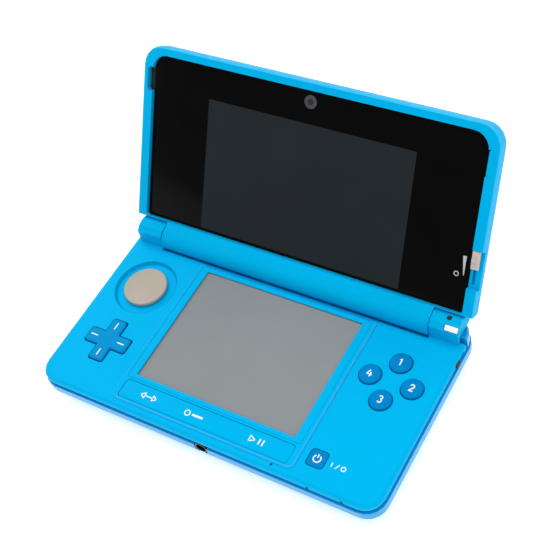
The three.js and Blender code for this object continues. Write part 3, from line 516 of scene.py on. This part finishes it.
def menu_marks():
    """Generic signs in place of words: two arrows, a ring with a bar, and play with pause."""
    y = middle("menu_strip").y
    half = 1.05
    fine, bold = 0.34, 0.5
    back, home, start = -22.2, -4, 20.4

    def triangle(tip, base):
        return dense([(tip, y), (base, y + half), (base, y - half), (tip, y)])

    def pause_bar(x):
        return dense([(x, y - half), (x, y + half)])

    arrows = [(triangle(back - 3.1, back - 1.6), fine),
              (dense([(back - 1.6, y), (back + 1.6, y)]), 0.4),
              (triangle(back + 3.1, back + 1.6), fine)]
    ring_and_bar = [(circle(home - 2.4, y, 0.95, 28), 0.4, True),
                    (dense([(home - 0.5, y), (home + 3.6, y)]), 0.75)]
    foot = start - 2.6
    play = [(dense([(foot, y - half), (start - 0.6, y), (foot, y + half), (foot, y - half)]), fine),
            (pause_bar(start + 1), bold),
            (pause_bar(start + 2.4), bold)]
    for name, strokes in (("mark_back", arrows), ("mark_home", ring_and_bar), ("mark_start", play)):
        printed(name, strokes, BASE_AXES, PLATEAU + PRINT, PRINT_WHITE, "menu_keys", "light_white")


make_bezel()
make_menu_strip()
refined("touch_screen", 0.05)
menu_marks()

# ---------------------------------------------------------------- round buttons

DIGITS = {
    1: [[(-0.34, 0.5), (0.06, 0.86), (0.06, -0.86)]],
    2: [arc(0, 0.36, 0.48, 165, -35, 9) + [(-0.5, -0.84), (0.54, -0.84)]],
    3: [arc(0, 0.42, 0.42, 155, -85, 9) + arc(0, -0.43, 0.46, 80, -155, 10)],
    4: [[(-0.1, 0.88), (-0.62, -0.3), (0.62, -0.3)], [(0.26, 0.34), (0.26, -0.88)]],
}
DIGIT_SCALE = 1.4
DIGIT_STROKE = 0.42
FLANGE = {"radius": 4.4, "top": 10.9}
BUTTON = {"radius": 3.75, "edge": 0.5, "edge_height": 0.4, "crown": 0.22}


def make_button(number):
    node = f"face_button_{number}"
    centre, foot, top = middle(node), low(node).z, high(node).z
    flat = BUTTON["radius"] - BUTTON["edge"]

    def dome(x, y):
        return top - BUTTON["crown"] * (math.hypot(x, y) / flat) ** 2

    edge_foot = top - BUTTON["crown"] - BUTTON["edge_height"]
    profile = [(0, foot), (FLANGE["radius"], foot), (FLANGE["radius"], FLANGE["top"]),
               (BUTTON["radius"], FLANGE["top"])]
    profile += [(flat + BUTTON["edge"] * math.cos(a), edge_foot + BUTTON["edge_height"] * math.sin(a))
                for a in (math.radians(10 * i) for i in range(10))]
    profile += [(r, dome(r, 0)) for r in (flat * (1 - i / 8) for i in range(9))]
    place = at(centre.x, centre.y, 0)
    bm = lathe(profile, place)
    bmesh.ops.remove_doubles(bm, verts=bm.verts, dist=WELD / 2)
    piece(f"button_{number}", mesh_of(node + "_fine", bm), KEY_BLUE, BODY[node], "key_blue", node)
    strokes = [(dense([(x * DIGIT_SCALE, y * DIGIT_SCALE) for x, y in path]), DIGIT_STROKE)
               for path in DIGITS[number]]
    printed(f"digit_{number}", strokes, place, lambda x, y: dome(x, y) + PRINT, PRINT_WHITE, BODY[node],
            "light_white")


for number in DIGITS:
    make_button(number)

# ---------------------------------------------------------------- direction pad, round pad, power key

DASH = {"from": 4.3, "to": 7.1, "width": 0.42}
# a darker ring painted on the face as the shade at the dish's edge
DISH_SHADE_LINE = {"radius": 11.62, "width": 0.22, "above": 0.012}
CAP = {"stem": 1.8, "underside": 11.7, "round": 0.35, "hollow": 0.3}
CAP_LIP = [(0.7, 0.04), (1.1, 0.16), (1.6, 0.26)]  # (inside the edge, below the rim)


def pad_marks():
    centre = middle("direction_pad")
    near, far = DASH["from"], DASH["to"]
    strokes = [(dense([(ux * near, uy * near), (ux * far, uy * far)]), DASH["width"])
               for ux, uy in ((1, 0), (0, 1), (-1, 0), (0, -1))]
    printed("pad_dashes", strokes, at(centre.x, centre.y, 0), high("direction_pad").z + PRINT, PRINT_WHITE,
            "direction_cross", "light_white")


def make_dish_shade_line():
    """A fine painted shade line, in the darker pad blue, where the round pad's dish meets the face."""
    centre = middle("circle_cap")
    ring = (circle(0, 0, DISH_SHADE_LINE["radius"], 96), DISH_SHADE_LINE["width"], True)
    printed("dish_shade_line", [ring], at(centre.x, centre.y, 0), FACE_TOP + DISH_SHADE_LINE["above"], PAD_BLUE, "base",
            "key_blue")


def make_circle_cap():
    node = "circle_cap"
    foot, far, centre = low(node), high(node), middle(node)
    radius, rim = (far.x - foot.x) / 2, far.z
    bend = CAP["round"]
    turn_x = radius - bend
    lip_reach, lip_drop = CAP_LIP[-1]
    floor = radius - lip_reach
    profile = [(0, foot.z), (CAP["stem"], foot.z), (CAP["stem"], CAP["underside"])]
    profile += arc(turn_x, CAP["underside"] + bend, bend, -90, 0, 5)
    profile += arc(turn_x, rim - bend, bend, 0, 90, 6)
    profile += [(radius - reach, rim - drop) for reach, drop in CAP_LIP]
    profile += [(floor * out, rim - lip_drop - CAP["hollow"] * (1 - out ** 2))
                for out in (1 - i / 8 for i in range(1, 9))]
    bm = lathe(profile, at(centre.x, centre.y, 0), 96)
    piece("round_pad", mesh_of("round_pad", bm), CAP_GREY, BODY[node], "cap_grey", node)


def power_marks():
    centre = middle("power_button")
    sign = [(dense(arc(0, -0.1, 1.25, 125, 415, 24)), 0.42), (dense([(0, 0.2), (0, 1.55)]), 0.42)]
    printed("power_sign", sign, at(centre.x, centre.y, 0), high("power_button").z + PRINT, PRINT_WHITE,
            "power_key", "light_white")
    label = [([(0, -0.75), (0, 0.75)], 0.32), ([(1.5, -0.85), (2.4, 0.85)], 0.3),
             (circle(4.1, 0, 0.72, 20), 0.32, True)]
    printed("power_label", label, at(centre.x + 5.2, centre.y - 0.1, 0), FACE_TOP + PRINT, PRINT_WHITE,
            "base", "light_white")


pad_marks()
make_dish_shade_line()
make_circle_cap()
power_marks()

# ---------------------------------------------------------------- lid panel

LENS_LOW, LENS_HIGH = lid_box("screen_lens")
LENS_FRONT = LENS_HIGH.z
LENS_CORNER = 5.4
LENS_FOOT_CORNER = 0.8
LENS_EDGE = [(0.1, 0), (0.03, 0.03), (0, 0.12)]  # (behind the front, inset)
LENS_SUNK = 1.2
FRAME_FACE = LENS_FRONT + LENS_SUNK
WINDOW = {"half": 39.5, "bottom": 7.4, "top": 54.7, "corner": 0.4}
SLOT_PLACE = {"x": 63.95, "half": 1.1, "bottom": 52.6, "top": 61.3}
WEDGE = [(60.95, 18.9), (61.2, 18.9), (61.25, 25.6), (60.0, 25.4)]
KNOB_LEFT, KNOB_RIGHT = 62.9, 65.4


def make_lens():
    layers = [(LENS_LOW.z, 0)] + [(LENS_FRONT - drop, inset) for drop, inset in LENS_EDGE]
    bm = slab(LENS_LOW.x, LENS_HIGH.x, LENS_LOW.y, LENS_HIGH.y, LENS_CORNER, layers, LID, LENS_FOOT_CORNER)
    piece("lens", mesh_of("lens", bm), PANEL_BLACK, "lid", "screen_glass", "screen_lens")


def make_window():
    """The display's own glass, which is a little lighter than the black border."""
    layers = [(LENS_FRONT - 0.2, 0), (LENS_FRONT + 0.005, 0), (LENS_FRONT + 0.02, 0.02)]
    bm = slab(-WINDOW["half"], WINDOW["half"], WINDOW["bottom"], WINDOW["top"], WINDOW["corner"], layers, LID)
    piece("window", mesh_of("window", bm), WINDOW_DARK, "lid", "screen_glass")


def make_inner_eye():
    """A dark disc in the panel with a small flat lens; its barrel is the plain solid behind."""
    foot, far = lid_box("inner_camera")
    radius, pupil_radius = (far.x - foot.x) / 2, 0.9
    place = LID @ at((foot.x + far.x) / 2, (foot.y + far.y) / 2, LENS_FRONT)
    disc = [(0, -0.5), (radius, -0.5), (radius, 0), (radius - 0.08, 0.06), (radius - 0.3, 0.06),
            (radius - 0.4, 0.02), (1.0, 0.02), (0.92, -0.06), (0, -0.06)]
    piece("inner_eye", mesh_of("inner_eye", lathe(disc, place)), EYE_RING, "lid", "gloss_black")
    rim, bulge = -0.04, 0.108
    pupil = [(0, -0.3), (pupil_radius, -0.3), (pupil_radius, rim)]
    pupil += [(pupil_radius * math.cos(math.radians(a)), rim + bulge * math.sin(math.radians(a)))
              for a in range(10, 100, 10)]
    piece("inner_pupil", mesh_of("inner_pupil", lathe(pupil, place, 32)), MATTE_BLACK, "lid", "gloss_black")


def make_outer_eyes():
    for side in ("left", "right"):
        node = f"outer_camera_{side}"
        foot, far = lid_box(node)
        x, y = (foot.x + far.x) / 2, (foot.y + far.y) / 2
        place = LID @ at(x, y, foot.z) @ Matrix.Rotation(math.pi, 4, "X")
        radius, depth = (far.x - foot.x) / 2, far.z - foot.z
        ring = [(0, -depth), (radius, -depth), (radius, -0.15), (radius - 0.15, 0), (radius - 0.6, 0),
                (radius - 0.9, -0.2), (1.6, -0.45), (1.45, -0.6), (0, -0.6)]
        piece(f"outer_eye_{side}", mesh_of(node + "_ring", lathe(ring, place)), EYE_RING, "lid",
              "gloss_black", node)
        glass = [(0, -0.7), (1.4, -0.7), (1.4, -0.5), (1.2, -0.38), (0.7, -0.28), (0, -0.25)]
        piece(f"outer_glass_{side}", mesh_of(node + "_glass", lathe(glass, place, 32)), GLOSS_BLACK, "lid",
              "gloss_black")


def lid_marks():
    """A wedge beside the depth slider with a ring at its foot."""
    front = LENS_FRONT + PRINT
    wedge = bmesh.new()
    lower, upper = (ring_of(wedge, WEDGE, height, LID) for height in (front - STROKE_DEPTH, front))
    skin(wedge, lower, upper)
    wedge.faces.new(lower)
    wedge.faces.new(list(reversed(upper)))
    piece("depth_wedge", mesh_of("depth_wedge", wedge), PRINT_GREY, "lid", "light_white")
    printed("depth_zero", [(circle(58.6, 18.9, 0.75, 24), 0.3, True)], LID, front, PRINT_GREY, "lid",
            "light_white")


def make_speaker_slots():
    """Dark cloth at the bottom of the slots beside the panel."""
    half = SLOT_PLACE["half"]
    layers = [(LENS_FRONT - 0.95, 0), (LENS_FRONT - 0.75, 0), (LENS_FRONT - 0.7, 0.1)]
    for side, name in ((-1, "speaker_cloth_left"), (1, "speaker_cloth_right")):
        x = side * SLOT_PLACE["x"]
        bm = slab(x - half, x + half, SLOT_PLACE["bottom"], SLOT_PLACE["top"], 1.0, layers, LID)
        piece(name, mesh_of(name, bm), MATTE_BLACK, "lid", "matte_black")


def make_slot_lip():
    """The right-hand slot is mostly closed by a lip that leaves a thin dark line beside the panel."""
    layers = [(LENS_FRONT - 0.6, 0), (FRAME_FACE - 0.12, 0), (FRAME_FACE - 0.04, 0.08)]
    bm = slab(63.3, 65.1, SLOT_PLACE["bottom"], 61.4, 0.8, layers, LID)
    piece("slot_lip", mesh_of("slot_lip", bm), FACE_PAINT, "lid", "face_blue")


def knob_bar(name, y, half, inset, corner, edge, material):
    """A low bar across the depth slider at height y on the lid."""
    front = lid_box("depth_slider")[1].z
    layers = [(front - 0.3, 0)] + [(front + rise, step) for rise, step in edge]
    bm = slab(KNOB_LEFT + inset, KNOB_RIGHT - inset, y - half, y + half, corner, layers, LID)
    piece(name, mesh_of(name, bm), material, BODY["depth_slider"], "slider_grey")


def make_knob_trim():
    """A grip ridge across the depth slider, with a finer bar above and below it."""
    foot, far = lid_box("depth_slider")
    y = (foot.y + far.y) / 2
    knob_bar("knob_ridge", y, 0.42, 0.35, 0.3, [(0.03, 0.02), (0.06, 0.15)], PRINT_GREY)
    for name, offset in (("knob_groove_lower", -1.5), ("knob_groove_upper", 1.5)):
        knob_bar(name, y + offset, 0.16, 0.5, 0.12, [(0.02, 0.02), (0.04, 0.1)], SLIDER_GREY)


make_lens()
make_window()
make_inner_eye()
make_outer_eyes()
lid_marks()
make_speaker_slots()
make_slot_lip()
make_knob_trim()

# ---------------------------------------------------------------- sockets, lamps and plug

FACING_FRONT = Matrix.Rotation(math.pi / 2, 4, "X")


def front_of(node):
    """Axes at the middle of a node's front end, with z towards the player."""
    centre = middle(node)
    return at(centre.x, low(node).y, centre.z) @ FACING_FRONT


def make_jack():
    node = "headphone_jack"
    size = high(node) - low(node)
    radius, length = size.x / 2, size.y
    profile = [(0, -length), (radius, -length), (radius, -0.2), (radius - 0.06, -0.06), (radius - 0.2, 0),
               (1.95, 0), (1.8, -0.1), (1.75, -0.3), (1.75, -length + 1), (0, -length + 1)]
    piece("jack", mesh_of("jack", lathe(profile, front_of(node), 48)), GLOSS_BLACK, "base", "gloss_black",
          node)


def make_lamps():
    profile = [(0, -2.4), (0.44, -2.4), (0.44, -0.1), (0.38, -0.02), (0.2, 0), (0, 0)]
    for node in ("light_power", "light_charge"):
        piece(node + "_lamp", mesh_of(node + "_lamp", lathe(profile, front_of(node), 24)), MATTE_BLACK,
              "base", SLOT[node], node)


def make_plug():
    node = "block_plug"
    centre, top, foot = middle(node), high(node).z, low(node).z
    place = at(centre.x, centre.y, 0)
    sleeve = [(0, foot), (0.74, foot), (0.74, top - 0.1), (0.66, top), (0.42, top), (0.34, top - 0.12),
              (0, top - 0.12)]
    piece("plug", mesh_of("plug", lathe(sleeve, place, 32)), MATTE_BLACK, "base", SLOT[node], node)
    core = [(0, top - 0.14), (0.3, top - 0.14), (0.28, top - 0.05), (0.15, top - 0.01), (0, top)]
    piece("plug_core", mesh_of("plug_core", lathe(core, place, 24)), EYE_RING, "base", SLOT[node])


make_jack()
make_lamps()
make_plug()

# ---------------------------------------------------------------- stage, light and camera

FLOOR_REACH = 4.0  # m
FLOOR_GLOW = 0.45  # a lit table: it lifts the shadow under the object
FLOOR_BELOW = 0.01 * MM
WORLD_STRENGTH = 0.75
SENSOR = 36
CAMERA_AZIMUTH = 44.46
CAMERA_ELEVATION = 49.92
CAMERA_ROLL = 18.79
CAMERA_DISTANCE = 410.4 * MM
CAMERA_TARGET = Vector((-7.69, 31.15, 12.7)) * MM
CAMERA_LENS = 76.49


def direction(azimuth, elevation):
    """Unit vector in degrees; azimuth 0 is in front of the object and 90 to the player's right."""
    a, e = math.radians(azimuth), math.radians(elevation)
    return Vector((math.sin(a) * math.cos(e), -math.cos(a) * math.cos(e), math.sin(e)))


def make_floor():
    mesh = bpy.data.meshes.new("floor")
    r = FLOOR_REACH
    mesh.from_pydata([(-r, -r, 0), (r, -r, 0), (r, r, 0), (-r, r, 0)], [], [(0, 1, 2, 3)])
    floor = bpy.data.objects.new("floor", mesh)
    bpy.context.scene.collection.objects.link(floor)
    floor.location.z = -FLOOR_BELOW
    paper = surface("floor_paper", (0.9, 0.9, 0.9), 0.9, vary=0.01, grain=400, grain_depth=0.02,
                    specular=0.1, wear_and_highlight=0)
    shader = paper.node_tree.nodes["Principled BSDF"]
    shader.inputs["Emission Color"].default_value = (1, 1, 1, 1)
    shader.inputs["Emission Strength"].default_value = FLOOR_GLOW
    mesh.materials.append(paper)


def area_light(name, azimuth, elevation, distance, size, power):
    """A square softbox that looks at the object; distance and size in m, power in W."""
    light = bpy.data.lights.new(name, "AREA")
    light.size = size
    light.energy = power
    lamp = bpy.data.objects.new(name, light)
    lamp.location = direction(azimuth, elevation) * distance
    lamp.rotation_euler = (-lamp.location).to_track_quat("-Z", "Y").to_euler()
    bpy.context.scene.collection.objects.link(lamp)


def make_camera():
    away = direction(CAMERA_AZIMUTH, CAMERA_ELEVATION)
    data = bpy.data.cameras.new("camera")
    data.lens = CAMERA_LENS
    data.sensor_width = SENSOR
    data.clip_start = 10 * MM
    camera = bpy.data.objects.new("camera", data)
    camera.location = CAMERA_TARGET + away * CAMERA_DISTANCE
    level = away.to_track_quat("Z", "Y")
    roll = Matrix.Rotation(-math.radians(CAMERA_ROLL), 3, "Z").to_quaternion()
    camera.rotation_mode = "QUATERNION"
    camera.rotation_quaternion = level @ roll
    bpy.context.scene.collection.objects.link(camera)
    bpy.context.scene.camera = camera


def make_light():
    world = bpy.data.worlds.new("world")
    world.use_nodes = True
    background = world.node_tree.nodes["Background"]
    background.inputs["Color"].default_value = (1, 1, 1, 1)
    background.inputs["Strength"].default_value = WORLD_STRENGTH
    bpy.context.scene.world = world
    area_light("overhead", 190, 68, 1.3, 1.4, 7)
    area_light("left_fill", 250, 45, 1.4, 1.2, 3)
    area_light("right_fill", 60, 60, 1.5, 1.2, 3)


make_floor()
make_camera()
make_light()
bpy.context.scene.view_settings.view_transform = "Standard"
